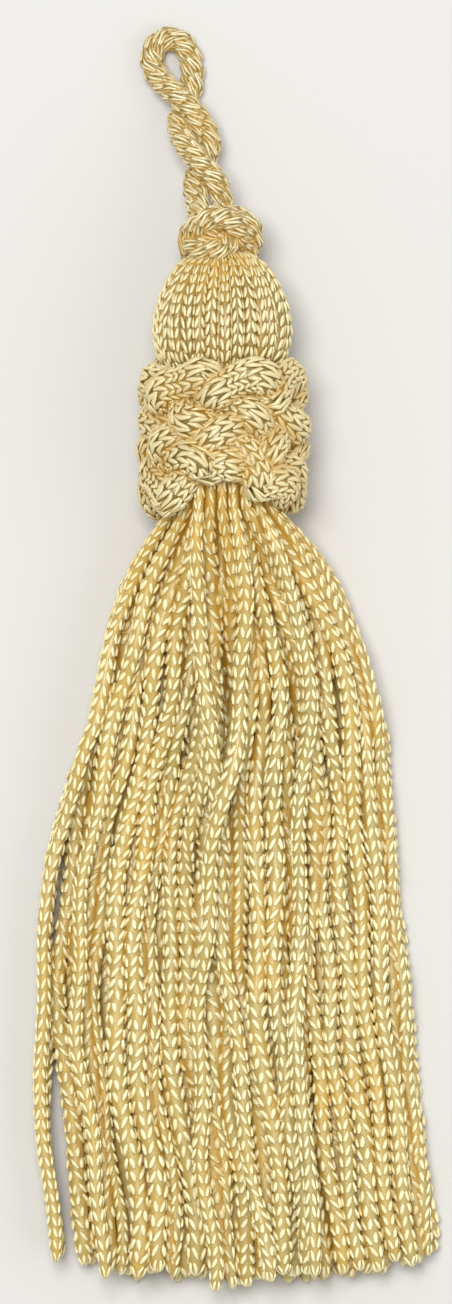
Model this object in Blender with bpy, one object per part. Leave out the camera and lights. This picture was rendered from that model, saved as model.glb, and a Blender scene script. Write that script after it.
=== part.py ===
"""A silk tassel lying on its back: a bundle of knitted silk strands that hangs
from an overhand knot, a collar woven of cord round its neck, and a twisted
hanging loop.

Metres, +Z up. The tassel lies along Y, its loop at +Y, on the surface z = 0.
"""
import math

import bmesh
import bpy
import numpy as np
from mathutils import Vector

MM = 0.001

# The tassel's own axis, which the head, the neck and the collar share
AXIS_X = -1.43 * MM
AXIS_Z = 7.75 * MM

# Head and neck: a dome of strands drawn in under the collar
HEAD_RIBS = 31
RIB_DEPTH = 0.32 * MM
# along Y, outer radius, share of the full rib depth
HEAD_PROFILE = (
    (48.9, 1.5, 0.2),
    (48.5, 2.7, 0.5),
    (47.9, 3.8, 0.8),
    (47.0, 4.8, 1.0),
    (45.2, 5.95, 1.0),
    (43.5, 6.65, 1.0),
    (41.6, 7.02, 1.0),
    (39.8, 6.95, 1.0),
    (38.6, 6.65, 1.0),
    (37.6, 6.05, 1.0),
    (36.6, 5.3, 0.6),
    (35.2, 4.85, 0.3),
    (31.0, 4.6, 0.2),
    (27.0, 4.85, 0.2),
    (25.2, 5.3, 0.2),
    (23.9, 5.75, 0.2),
)

# Skirt: the loose strands, from the mouth of the collar to their cut ends
ROOT_Y = 23.6 * MM
# how far the strands reach up into the neck
ROOT_DEPTH = 1.2 * MM
# square grid of the roots, and its reach in steps of the grid
ROOT_PITCH = 1.12 * MM
ROOT_REACH = 4.5
ROOT_WIDTH = 0.78 * MM
# spacing, thickness and least gap of the loose strands
STRAND_PITCH = 1.68 * MM
STRAND_WIDTH = 1.34 * MM
STRAND_GAP = 0.2 * MM
# over this length a strand swells from its root's thickness to its own
SWELL_LENGTH = 10.0 * MM
# the cut edge: its middle, how much it rises to the sides, how uneven it is
CUT_Y = -53.2 * MM
CUT_RISE = 2.4 * MM
CUT_UNEVEN = 0.45 * MM
SKIRT_HALF_WIDTH = 20.0 * MM
# the strands are laid from station to station, falling and spreading as they go
STATION_STEP = 1.2 * MM
FALL_PER_STATION = 0.27 * MM
SPREAD_LENGTH = 20.0 * MM
DEEPEST_LAYER = 4
# one round of settling lets a strand sink and draws it sideways to its place
SINK = 0.02 * MM
SIDE_PULL = 0.05
SETTLE_ROUNDS = 60
EASE_ROUNDS = 30
RIDER_REACH = 1.15
WANDER = 0.2 * MM
# the outermost strand at the left stands off a little
STRAY_GAP = 0.9 * MM
STRAY_FROM = -28.0 * MM
STRAY_TO = -50.0 * MM
# strands that cross over the others: place in the neck, how far along the skirt's width they move
RIDERS = (
    (-2, 4, 0.26),
    (1, 4, -0.18),
    (3, 3, -0.12),
)
# how far down from the roots each section of a strand's solid lies
SECTION_DROPS = (0.0, 1.5, 3.8, 7.2, 11.5, 17.0, 24.5, 35.0, 48.0, 66.0)
# along Y, left and right edge of the skirt
SKIRT_OUTLINE = (
    (23.6, -6.95, 4.09),
    (22.4, -7.9, 5.05),
    (20.7, -9.6, 7.7),
    (17.8, -11.1, 9.2),
    (11.1, -13.0, 12.2),
    (2.0, -14.8, 14.9),
    (-4.9, -17.5, 15.3),
    (-11.6, -19.1, 15.9),
    (-25.1, -20.5, 17.3),
    (-40.9, -19.9, 18.7),
    (-51.2, -18.6, 20.5),
)

# Collar: one cord woven round the neck, over and under itself
COLLAR_Y = 30.6 * MM
COLLAR_HALF_LENGTH = 6.75 * MM
COLLAR_LEADS = 5
COLLAR_BIGHTS = 7
COLLAR_TURN = math.radians(14)
COLLAR_CORD_RADIUS = 1.2 * MM
# the cord's distance from the axis, more of it at the edges, and its rise and fall as it crosses itself
COLLAR_RADIUS = 6.15 * MM
COLLAR_FLARE = 0.75 * MM
COLLAR_WEAVE = 0.9 * MM
COLLAR_CLEARANCE = 0.36 * MM
# how finely the cord and the ring are worked out
STEPS_PER_TURN = 160
COLLAR_COLUMNS = 63
COLLAR_ROWS = 17
COLLAR_INNER_ROWS = 6
# the ring between the cords, how sharp the cord's turns are, and the surface under the tassel
COLLAR_GROUND = 0.1 * MM
TURN_SHARPNESS = 0.93
SURFACE_Z = 0.0

# Cord of the loop and the knot: three plies laid up together
CORD_RADIUS = 1.1 * MM
PLIES = 3
PLY_LAY = 6.0 * MM
PLY_VALLEY = 0.8
CORD_STEP = 0.8 * MM
BAND_STEP = 1.1 * MM
# x, y, z of the loop's middle line, from the left leg's foot round the eye to the right leg's
LOOP_ROUTE = (
    (-3.79, 52.9, 8.15),
    (-3.98, 53.9, 7.5),
    (-4.11, 54.85, 6.5),
    (-4.1, 56.1, 4.75),
    (-3.45, 57.4, 3.75),
    (-2.65, 59.3, 3.25),
    (-3.19, 61.2, 3.3),
    (-4.05, 62.5, 3.75),
    (-5.13, 63.65, 3.8),
    (-6.1, 64.6, 3.25),
    (-7.2, 65.6, 2.4),
    (-8.1, 66.8, 1.6),
    (-8.43, 68.1, 1.22),
    (-8.15, 69.35, 1.14),
    (-7.25, 70.1, 1.14),
    (-6.15, 70.2, 1.14),
    (-5.2, 69.55, 1.14),
    (-4.6, 68.35, 1.14),
    (-4.4, 67.0, 1.14),
    (-4.45, 65.7, 1.14),
    (-4.7, 64.6, 1.14),
    (-5.13, 63.6, 1.25),
    (-5.6, 62.5, 1.9),
    (-5.69, 61.2, 3.2),
    (-5.0, 59.3, 5.0),
    (-3.45, 57.4, 6.3),
    (-2.3, 56.1, 6.55),
    (-1.65, 54.85, 5.95),
    (-1.6, 53.7, 5.6),
)
# x, y, z of the middle lines of the knot's bands
KNOT_BANDS = (
    # the left leg, down over the front to where the strands are gathered
    ((-3.73, 52.5, 8.42), (-3.5, 51.8, 8.95), (-3.1, 51.1, 9.6), (-2.4, 50.3, 10.2), (-1.5, 49.5, 10.0),
     (-0.7, 48.6, 9.0)),
    # the left lobe, up and over to the right
    ((-4.0, 48.2, 5.2), (-4.6, 49.1, 6.9), (-4.5, 50.3, 8.9), (-3.6, 51.3, 10.5), (-2.3, 51.9, 11.2),
     (-0.9, 51.8, 10.9), (0.2, 50.9, 10.0), (0.55, 49.7, 8.6), (0.3, 48.6, 6.9)),
    # the right leg, round the outer right side to the back
    ((-1.57, 53.2, 5.45), (-1.2, 52.5, 5.5), (-0.1, 52.2, 6.4), (0.9, 51.6, 7.3), (1.5, 50.6, 7.8),
     (1.3, 49.2, 6.9), (0.6, 48.4, 5.4)),
    # the turn behind the strands
    ((0.9, 51.7, 5.6), (-0.6, 51.9, 4.3), (-2.2, 51.4, 3.9), (-3.6, 50.3, 4.4), (-4.2, 49.0, 5.4)),
    ((0.8, 49.4, 5.6), (-0.8, 49.9, 4.0), (-2.6, 49.5, 3.9), (-4.0, 48.6, 4.8)),
)
KNOT_CORE = ((-1.6, 50.5, 7.5), (2.9, 2.0, 3.2))
KNOT_CLEARANCE = 0.32 * MM

SEED = 7


def material(name, color, roughness):
    """A silk finish of one colour."""
    silk = bpy.data.materials.new(name)
    silk.use_nodes = True
    shader = silk.node_tree.nodes["Principled BSDF"]
    shader.inputs["Base Color"].default_value = (*color, 1.0)
    shader.inputs["Roughness"].default_value = roughness
    shader.inputs["Metallic"].default_value = 0.0
    shader.inputs["Sheen Weight"].default_value = 0.4
    return silk


def add_object(name, mesh, finish=None):
    """An object of that mesh in the scene."""
    thing = bpy.data.objects.new(name, mesh)
    bpy.context.scene.collection.objects.link(thing)
    if finish:
        mesh.materials.append(finish)
    return thing


def skin(bm, rings):
    """A closed tube through rings of points, with a flat face over each end."""
    rows = [[bm.verts.new(point) for point in ring] for ring in rings]
    for row, following in zip(rows, rows[1:]):
        for i in range(len(row)):
            j = (i + 1) % len(row)
            bm.faces.new((row[i], row[j], following[j], following[i]))
    bm.faces.new(rows[0])
    bm.faces.new(rows[-1])


def finished_mesh(name, bm, smooth=True):
    """The mesh of a bmesh, its faces pointing out."""
    bmesh.ops.recalc_face_normals(bm, faces=bm.faces)
    mesh = bpy.data.meshes.new(name)
    bm.to_mesh(mesh)
    bm.free()
    if smooth:
        mesh.shade_smooth()
        mesh.set_sharp_from_angle(angle=math.radians(50))
    return mesh


def head_radius(y):
    """The outer radius of the head and neck at a place along Y."""
    places = [row[0] * MM for row in reversed(HEAD_PROFILE)]
    radii = [row[1] * MM for row in reversed(HEAD_PROFILE)]
    return np.interp(y, places, radii)


def head_mesh(grown=0.0):
    """The domed head of ribs, each rib a strand, and the neck inside the collar."""
    rings = []
    for y, radius, rib in HEAD_PROFILE:
        ring = []
        for i in range(2 * HEAD_RIBS):
            angle = math.pi * i / HEAD_RIBS
            reach = radius * MM + grown
            if i % 2 and not grown:
                reach -= RIB_DEPTH * rib
            ring.append((AXIS_X + reach * math.cos(angle), y * MM + grown, AXIS_Z + reach * math.sin(angle)))
        rings.append(ring)
    bm = bmesh.new()
    skin(bm, rings)
    return finished_mesh("head", bm)


def outline(y):
    """The left and right edge of the skirt at a place along Y."""
    places = [row[0] * MM for row in reversed(SKIRT_OUTLINE)]
    left = np.interp(y, places, [row[1] * MM for row in reversed(SKIRT_OUTLINE)])
    right = np.interp(y, places, [row[2] * MM for row in reversed(SKIRT_OUTLINE)])
    return left, right


def swell(y):
    """0 where a strand leaves the collar, 1 once it has its full thickness."""
    part = np.clip((ROOT_Y - y) / SWELL_LENGTH, 0.0, 1.0)
    return part * part * (3 - 2 * part)


def root_grid():
    """The strands' places in the neck: the points of a square grid inside a circle."""
    span = range(-math.ceil(ROOT_REACH), math.ceil(ROOT_REACH) + 1)
    cells = [(i, j) for i in span for j in span if i * i + j * j <= ROOT_REACH ** 2]
    return np.array(sorted(cells), dtype=float)


def shares_across(cells):
    """Where each strand lies across the flattened skirt, 0 at the left and 1 at the right."""
    columns = []
    for column in sorted(set(cells[:, 0])):
        members = np.flatnonzero(cells[:, 0] == column)
        wide = math.ceil(len(members) / DEEPEST_LAYER)
        columns += [members[place::wide] for place in range(wide)]
    shares = np.zeros(len(cells))
    for place, members in enumerate(columns):
        shares[members] = (place + 0.5) / len(columns)
    return shares


def pushed_apart(x, z, pitch, share=0.3):
    """Strands that lie nearer than a pitch, moved apart: their sections are squares with round corners."""
    gap_x = x[:, None] - x[None, :]
    gap_z = z[:, None] - z[None, :]
    apart = (gap_x ** 4 + gap_z ** 4) ** 0.25
    np.fill_diagonal(apart, pitch)
    push = share * np.maximum(pitch - apart, 0.0)
    steep = np.hypot(gap_x ** 3, gap_z ** 3)
    np.fill_diagonal(steep, 1.0)
    x = x + np.sum(push * gap_x ** 3 / steep, axis=1)
    z = z + np.sum(push * gap_z ** 3 / steep, axis=1)
    return x, z


def settled(x, z, y, wanted, sink, rounds):
    """The strands of one station, spread to the outline and lying on each other and the surface."""
    left, right = outline(y)
    grown = swell(y)
    pitch = ROOT_PITCH + (STRAND_PITCH - ROOT_PITCH) * grown
    half = (ROOT_WIDTH + (STRAND_WIDTH - ROOT_WIDTH) * grown) / 2
    for _ in range(rounds):
        x = x + SIDE_PULL * (wanted - x)
        z = z - sink
        x, z = pushed_apart(x, z, pitch)
        x = np.clip(x, left + half, right - half)
        z = np.maximum(z, half)
    return x, z


def stray_gap(y):
    """How far the outermost strand at the left stands off from the rest."""
    part = (y - STRAY_FROM) / (STRAY_TO - STRAY_FROM)
    return STRAY_GAP * math.sin(math.pi * part) ** 2 if 0 < part < 1 else 0.0


def lying_lines(cells, places):
    """The x and z of the middle lines of the strands that lie in order, at each place along Y."""
    rng = np.random.default_rng(SEED)
    shares = shares_across(cells)
    wander = rng.uniform(-WANDER, WANDER, len(cells))
    x = AXIS_X + ROOT_PITCH * cells[:, 0]
    z = AXIS_Z + ROOT_PITCH * cells[:, 1]
    lines_x = [x]
    lines_z = [z]
    edges = outline(places[0])
    for y in places[1:]:
        left, right = outline(y)
        across = (x - edges[0]) / (edges[1] - edges[0])
        fanned = left + (right - left) * across
        spread = min((ROOT_Y - y) / SPREAD_LENGTH, 1.0)
        level = left + (right - left) * shares + wander
        inside = shares > np.min(shares)
        level = level + inside * (1 - shares) * stray_gap(y)
        wanted = fanned + spread * (level - fanned)
        z = z - FALL_PER_STATION * min(1.0, (ROOT_Y - y) / (3 * STATION_STEP))
        x, z = settled(fanned, z, y, wanted, SINK, SETTLE_ROUNDS)
        lines_x.append(x)
        lines_z.append(z)
        edges = (left, right)
    return smoothed(places, np.array(lines_x), np.array(lines_z))


def eased(values, passes):
    """Rows of values with the kinks between one row and the next taken out."""
    for _ in range(passes):
        values[1:-1] = 0.25 * values[:-2] + 0.5 * values[1:-1] + 0.25 * values[2:]
    return values


def smoothed(places, xs, zs):
    """Middle lines with their kinks taken out and their strands still apart."""
    for _ in range(8):
        eased(xs, 3)
        eased(zs, 3)
        for k in range(1, len(places)):
            xs[k], zs[k] = settled(xs[k], zs[k], places[k], xs[k], 0.0, EASE_ROUNDS)
    return xs, zs


def laid_over(xs, zs, places, cell):
    """The middle line of a strand that crosses on top of all those laid before it."""
    column, row, drift = cell
    line_x = []
    heights = []
    edges = outline(places[0])
    share = (AXIS_X + ROOT_PITCH * column - edges[0]) / (edges[1] - edges[0])
    for k, y in enumerate(places):
        left, right = outline(y)
        part = (ROOT_Y - y) / (ROOT_Y - CUT_Y)
        x = left + (right - left) * (share + drift * part * (2 - part))
        pitch = ROOT_PITCH + (STRAND_PITCH - ROOT_PITCH) * swell(y)
        under = zs[k][np.abs(xs[k] - x) < RIDER_REACH * pitch]
        line_x.append(x)
        heights.append(np.max(under) + pitch if len(under) else pitch)
    start = AXIS_Z + ROOT_PITCH * row
    heights[0] = start
    widest = [max(heights[max(0, k - 2):k + 3]) for k in range(len(heights))]
    widest[0:3] = [start] * 3
    return np.array(line_x), eased(np.array(widest), 6)


def strand_lines():
    """The places along Y, and the x and z of every strand's middle line at each."""
    count = round((ROOT_Y - CUT_Y) / STATION_STEP) + 2
    places = ROOT_Y - STATION_STEP * np.arange(count)
    riding = {(column, row) for column, row, drift in RIDERS}
    cells = np.array([cell for cell in root_grid() if tuple(cell) not in riding])
    xs, zs = lying_lines(cells, places)
    for cell in RIDERS:
        x, z = laid_over(xs, zs, places, cell)
        xs = np.column_stack((xs, x))
        zs = np.column_stack((zs, z))
    return places, xs, zs


def cut_ends(xs, rng):
    """How far along Y each strand reaches: an uneven edge that rises to both sides."""
    rise = CUT_RISE * (xs / SKIRT_HALF_WIDTH) ** 2
    return CUT_Y + rise + rng.uniform(-CUT_UNEVEN, CUT_UNEVEN, len(xs))


def pressed_widths(xs, zs, widths):
    """The strands' widths at each section, narrower where a neighbour presses on them."""
    nearest = np.full(xs.shape, np.inf)
    for k in range(len(xs) - 1):
        for part in np.linspace(0.0, 1.0, 9):
            x = xs[k] + part * (xs[k + 1] - xs[k])
            z = zs[k] + part * (zs[k + 1] - zs[k])
            apart = np.maximum(np.abs(x[:, None] - x), np.abs(z[:, None] - z))
            np.fill_diagonal(apart, np.inf)
            close = np.min(apart, axis=1)
            nearest[k] = np.minimum(nearest[k], close)
            nearest[k + 1] = np.minimum(nearest[k + 1], close)
    return np.minimum(widths[:, None], nearest - STRAND_GAP)


def skirt_mesh():
    """The loose strands, four-sided, each from inside the neck to its cut end."""
    places, lines_x, lines_z = strand_lines()
    ends = cut_ends(lines_x[-1], np.random.default_rng(SEED))
    stops = ROOT_Y - MM * np.array(SECTION_DROPS)
    levels = [np.interp(-stops, -places, line) for line in lines_x.T]
    xs = np.array(levels).T
    zs = np.array([np.interp(-stops, -places, line) for line in lines_z.T]).T
    widths = pressed_widths(xs, zs, ROOT_WIDTH + (STRAND_WIDTH - ROOT_WIDTH) * swell(stops))
    bm = bmesh.new()
    for strand, end in enumerate(ends):
        sections = [(ROOT_Y + ROOT_DEPTH, 0)] + list(zip(stops, range(len(stops)))) + [(end, -1)]
        tip_x = np.interp(-end, -places, lines_x[:, strand])
        rings = []
        for y, k in sections:
            x = tip_x if k < 0 else xs[k, strand]
            half = widths[k, strand] / 2
            corners = ((-half, -half), (half, -half), (half, half), (-half, half))
            rings.append([(x + across, y, zs[k, strand] + up) for across, up in corners])
        skin(bm, rings)
    return finished_mesh("strands", bm, smooth=False)


def joined(name, base, other, operation, finish):
    """The solid of one mesh with another added to it or cut from it, as an object."""
    whole = add_object(name, base, finish)
    tool = add_object(name + "_tool", other)
    tool.hide_render = True
    tool.display_type = "WIRE"
    boolean = whole.modifiers.new("join", "BOOLEAN")
    boolean.operation = operation
    boolean.object = tool
    boolean.solver = "EXACT"
    boolean.use_self = True
    return whole


def add_strands(finish):
    """The bundle of strands: head, neck and skirt in one."""
    return joined("strands", head_mesh(), skirt_mesh(), "UNION", finish)


def weave_height(phase):
    """The collar cord's place along Y, -1 to 1, at a phase of its wave: straight runs, round turns."""
    return math.asin(TURN_SHARPNESS * math.cos(phase)) / math.asin(TURN_SHARPNESS)


def weave_rise(phase):
    """1 where the collar's cord passes over itself, -1 where it passes under."""
    ease = math.sin(math.pi / COLLAR_LEADS)
    side = max(-1.0, min(1.0, math.sin(phase) / ease))
    return -math.cos(COLLAR_LEADS * phase) * side


def collar_cord():
    """Points along the collar's cord: angle round the axis, place along Y, distance from the axis."""
    steps = COLLAR_LEADS * STEPS_PER_TURN
    points = []
    for step in range(steps):
        turn = 2 * math.pi * COLLAR_LEADS * step / steps
        phase = COLLAR_BIGHTS * turn / COLLAR_LEADS
        height = weave_height(phase)
        radius = COLLAR_RADIUS + COLLAR_FLARE * height ** 4 + COLLAR_WEAVE * weave_rise(phase)
        points.append((turn + COLLAR_TURN, COLLAR_HALF_LENGTH * height, radius))
    return np.array(points)


def collar_mesh():
    """A ring whose outer face is raised into the woven cord and whose bore follows the neck."""
    cord = collar_cord()
    outer = []
    inner = []
    for column in range(COLLAR_COLUMNS):
        angle = 2 * math.pi * column / COLLAR_COLUMNS
        turned = (cord[:, 0] - angle + math.pi) % (2 * math.pi) - math.pi
        beside = turned * (COLLAR_RADIUS + COLLAR_CORD_RADIUS / 2)
        near = np.abs(beside) < COLLAR_CORD_RADIUS
        reach = np.sqrt(COLLAR_CORD_RADIUS ** 2 - beside[near] ** 2)
        top = np.max(cord[near, 1] + reach)
        bottom = np.min(cord[near, 1] - reach)
        outer_row = []
        for row in range(COLLAR_ROWS + 1):
            even = row / COLLAR_ROWS
            crowded = (1 - math.cos(math.pi * even)) / 2
            along = bottom + (top - bottom) * (even + crowded) / 2
            apart = np.hypot(beside, cord[:, 1] - along)
            under = apart < COLLAR_CORD_RADIUS
            base = COLLAR_RADIUS + COLLAR_FLARE * (along / COLLAR_HALF_LENGTH) ** 4 + COLLAR_GROUND
            radius = base
            if np.any(under):
                bulge = cord[under, 2] + np.sqrt(COLLAR_CORD_RADIUS ** 2 - apart[under] ** 2)
                radius = max(base, np.max(bulge))
            outer_row.append((radius, along + COLLAR_Y))
        outer.append([spot(angle, *place) for place in outer_row])
        inner_row = []
        for row in range(COLLAR_INNER_ROWS + 1):
            along = top - (top - bottom) * row / COLLAR_INNER_ROWS
            y = along + COLLAR_Y
            inner_row.append((float(head_radius(y)) + COLLAR_CLEARANCE, y))
        inner.append([spot(angle, *place) for place in inner_row])
    bm = bmesh.new()
    loops = [[bm.verts.new(point) for point in out + back] for out, back in zip(outer, inner)]
    for loop, following in zip(loops, loops[1:] + loops[:1]):
        for i in range(len(loop)):
            j = (i + 1) % len(loop)
            bm.faces.new((loop[i], loop[j], following[j], following[i]))
    return finished_mesh("collar", bm)


def spot(angle, radius, y):
    """A point at an angle and a distance from the tassel's axis, never below the surface."""
    z = AXIS_Z + radius * math.sin(angle)
    return (AXIS_X + radius * math.cos(angle), y, max(z, SURFACE_Z))


def smooth_route(points, step):
    """Evenly spaced points on a smooth curve through the given ones, in metres."""
    knots = [Vector(point) * MM for point in points]
    knots = [2 * knots[0] - knots[1]] + knots + [2 * knots[-1] - knots[-2]]
    fine = []
    for before, start, end, after in zip(knots, knots[1:], knots[2:], knots[3:]):
        for i in range(12):
            t = i / 12
            bend = 2 * start + (end - before) * t
            bend += (2 * before - 5 * start + 4 * end - after) * t * t
            bend += (3 * start - before - 3 * end + after) * t ** 3
            fine.append(0.5 * bend)
    fine.append(knots[-2])
    travelled = [0.0]
    for here, there in zip(fine, fine[1:]):
        travelled.append(travelled[-1] + (there - here).length)
    count = max(3, round(travelled[-1] / step))
    wanted = np.linspace(0.0, travelled[-1], count + 1)
    columns = [np.interp(wanted, travelled, [point[i] for point in fine]) for i in range(3)]
    return list(zip(*columns)), wanted


def ply_section():
    """The outline of the cord's section: a round lobe for each ply, as a hidden curve."""
    curve = bpy.data.curves.new("ply_section", "CURVE")
    curve.dimensions = "2D"
    spline = curve.splines.new("POLY")
    corners = 3 * PLIES
    spline.points.add(corners - 1)
    spline.use_cyclic_u = True
    for i, point in enumerate(spline.points):
        angle = -2 * math.pi * i / corners
        reach = CORD_RADIUS * (1.0 if i % 3 == 0 else PLY_VALLEY)
        point.co = (reach * math.cos(angle), reach * math.sin(angle), 0.0, 1.0)
    section = bpy.data.objects.new("ply_section", curve)
    bpy.context.scene.collection.objects.link(section)
    section.hide_render = True
    section.display_type = "WIRE"
    return section


def cord_curve(name, points, section, step=CORD_STEP):
    """A laid cord along a route, its plies turning round it."""
    curve = bpy.data.curves.new(name, "CURVE")
    curve.dimensions = "3D"
    curve.bevel_mode = "OBJECT"
    curve.bevel_object = section
    curve.use_fill_caps = True
    curve.twist_mode = "MINIMUM"
    places, travelled = smooth_route(points, step)
    spline = curve.splines.new("POLY")
    spline.points.add(len(places) - 1)
    for point, place, far in zip(spline.points, places, travelled):
        point.co = (*place, 1.0)
        point.tilt = 2 * math.pi * far / PLY_LAY
    cord = bpy.data.objects.new(name, curve)
    bpy.context.scene.collection.objects.link(cord)
    return cord


def add_loop(section, finish):
    """The hanging loop: a length of cord whose two legs turn round each other below its eye."""
    loop = cord_curve("hanging_loop", LOOP_ROUTE, section)
    loop.data.materials.append(finish)
    return loop


def knot_mesh(section):
    """The knot's bands and its middle, still passing through each other."""
    bm = bmesh.new()
    for points in KNOT_BANDS:
        band = cord_curve("band", points, section, BAND_STEP)
        bpy.context.view_layer.update()
        seen = band.evaluated_get(bpy.context.evaluated_depsgraph_get())
        mesh = bpy.data.meshes.new_from_object(seen)
        bm.from_mesh(mesh)
        bpy.data.objects.remove(band)
    centre, reach = KNOT_CORE
    core = bmesh.ops.create_icosphere(bm, subdivisions=2, radius=1.0)
    bmesh.ops.scale(bm, vec=Vector(reach) * MM, verts=core["verts"])
    bmesh.ops.translate(bm, vec=Vector(centre) * MM, verts=core["verts"])
    bmesh.ops.remove_doubles(bm, verts=bm.verts, dist=0.001 * MM)
    return finished_mesh("top_knot", bm)


def add_knot(section, finish):
    """The overhand knot, seated over the crown of the head with a hair's clearance."""
    return joined("top_knot", knot_mesh(section), head_mesh(KNOT_CLEARANCE), "DIFFERENCE", finish)


def main():
    for old in list(bpy.data.objects):
        bpy.data.objects.remove(old)
    strand_silk = material("strand_silk", (0.80, 0.64, 0.32), 0.36)
    cord_silk = material("cord_silk", (0.84, 0.70, 0.40), 0.38)
    loop_silk = material("loop_silk", (0.86, 0.74, 0.46), 0.38)
    section = ply_section()
    add_strands(strand_silk)
    add_object("collar", collar_mesh(), cord_silk)
    add_knot(section, cord_silk.copy())
    add_loop(section, loop_silk)


main()
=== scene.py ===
import math

import bmesh
import bpy
import numpy as np
from mathutils import Matrix, Vector
from mathutils.kdtree import KDTree


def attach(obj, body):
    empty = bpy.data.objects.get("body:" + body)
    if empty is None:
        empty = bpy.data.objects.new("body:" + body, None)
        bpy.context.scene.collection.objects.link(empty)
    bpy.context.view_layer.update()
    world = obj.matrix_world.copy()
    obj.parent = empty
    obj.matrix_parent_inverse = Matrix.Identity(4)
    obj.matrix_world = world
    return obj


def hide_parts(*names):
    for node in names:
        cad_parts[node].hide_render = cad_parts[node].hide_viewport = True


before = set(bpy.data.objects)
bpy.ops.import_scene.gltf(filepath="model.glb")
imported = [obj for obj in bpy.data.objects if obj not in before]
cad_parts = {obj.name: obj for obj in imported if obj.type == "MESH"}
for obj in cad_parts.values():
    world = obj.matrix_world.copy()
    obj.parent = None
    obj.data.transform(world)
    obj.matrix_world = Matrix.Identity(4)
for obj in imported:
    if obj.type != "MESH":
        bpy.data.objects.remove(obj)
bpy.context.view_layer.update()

# Studio: the tassel lies on a pale matt table. A large soft lamp hangs above its upper
# left, a weaker one stands to its right, and the camera looks straight down.
MM = 0.001
TABLE_COLOUR = (0.64, 0.635, 0.62, 1.0)
TABLE_SIZE = 3.0
TABLE_ROUGHNESS = 0.9
CAMERA_AIM = (-1.04 * MM, 9.2 * MM, 8.0 * MM)
CAMERA_DISTANCE = 0.8
SEEN_LENGTH = 128.6 * MM
SENSOR = 36.0
NEAREST_SEEN = 0.01
LAMPS = (
    # place, size, watts
    ((-0.10, 0.16, 0.75), 0.30, 4.75),
    ((0.45, -0.10, 0.45), 0.50, 0.8),
)
ROOM_LIGHT = (1.0, 0.98, 0.94, 1.0)
ROOM_STRENGTH = 0.49

table_bm = bmesh.new()
bmesh.ops.create_grid(table_bm, x_segments=1, y_segments=1, size=TABLE_SIZE / 2)
table_mesh = bpy.data.meshes.new("table")
table_bm.to_mesh(table_mesh)
table_bm.free()
table = bpy.data.objects.new("table", table_mesh)
bpy.context.scene.collection.objects.link(table)
table_paint = bpy.data.materials.new("table_paint")
table_paint.use_nodes = True
table_shader = table_paint.node_tree.nodes["Principled BSDF"]
table_shader.inputs["Base Color"].default_value = TABLE_COLOUR
table_shader.inputs["Roughness"].default_value = TABLE_ROUGHNESS
table_mesh.materials.append(table_paint)

for place, size, watts in LAMPS:
    lamp_light = bpy.data.lights.new("lamp", "AREA")
    lamp_light.size = size
    lamp_light.energy = watts
    lamp = bpy.data.objects.new("lamp", lamp_light)
    lamp.location = place
    lamp.rotation_euler = (-Vector(place)).to_track_quat("-Z", "Y").to_euler()
    bpy.context.scene.collection.objects.link(lamp)

room = bpy.data.worlds.new("room")
room.use_nodes = True
room.node_tree.nodes["Background"].inputs["Color"].default_value = ROOM_LIGHT
room.node_tree.nodes["Background"].inputs["Strength"].default_value = ROOM_STRENGTH
bpy.context.scene.world = room
bpy.context.scene.view_settings.view_transform = "Standard"

eye = bpy.data.cameras.new("camera")
eye.sensor_width = SENSOR
eye.lens = SENSOR * CAMERA_DISTANCE / SEEN_LENGTH
eye.clip_start = NEAREST_SEEN
camera = bpy.data.objects.new("camera", eye)
camera.location = Vector(CAMERA_AIM) + Vector((0, 0, CAMERA_DISTANCE))
bpy.context.scene.collection.objects.link(camera)
bpy.context.scene.camera = camera

# Hanging loop: one silk cord, up from the knot, round a small eye and back, its two legs
# turned round each other. It is laid up from three plies, each a fine knitted silk tube that
# is full and almost smooth.
LOOP_ROUTE = MM * np.array((
    (-3.79, 52.9, 8.15),
    (-3.98, 53.9, 7.5),
    (-4.11, 54.85, 6.5),
    (-4.1, 56.1, 4.75),
    (-3.45, 57.4, 3.75),
    (-2.65, 59.3, 3.25),
    (-3.19, 61.2, 3.3),
    (-4.05, 62.5, 3.75),
    (-5.13, 63.65, 3.8),
    (-6.1, 64.6, 3.25),
    (-7.2, 65.6, 2.4),
    (-8.1, 66.8, 1.6),
    (-8.43, 68.1, 1.22),
    (-8.15, 69.35, 1.14),
    (-7.25, 70.1, 1.14),
    (-6.15, 70.2, 1.14),
    (-5.2, 69.55, 1.14),
    (-4.6, 68.35, 1.14),
    (-4.4, 67.0, 1.14),
    (-4.45, 65.7, 1.14),
    (-4.7, 64.6, 1.14),
    (-5.13, 63.6, 1.25),
    (-5.6, 62.5, 1.9),
    (-5.69, 61.2, 3.2),
    (-5.0, 59.3, 5.0),
    (-3.45, 57.4, 6.3),
    (-2.3, 56.1, 6.55),
    (-1.65, 54.85, 5.95),
    (-1.6, 53.7, 5.6),
))
CORD_PLIES = 3
CORD_LAY = 4.6 * MM
PLY_REACH = 0.72 * MM
PLY_OFF = 0.58 * MM
PLY_PITCH = 1.5 * MM
PLY_WALES = 5
# one leg of a ply's stitch: its width, depth and length, how it slants and is tucked in
PLY_LEG = (0.43 * MM, 0.22 * MM, 2.4 * MM)
PLY_SLANT = math.radians(6)
PLY_TUCK = math.radians(2)
PLY_CORE = 0.67 * MM
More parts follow.
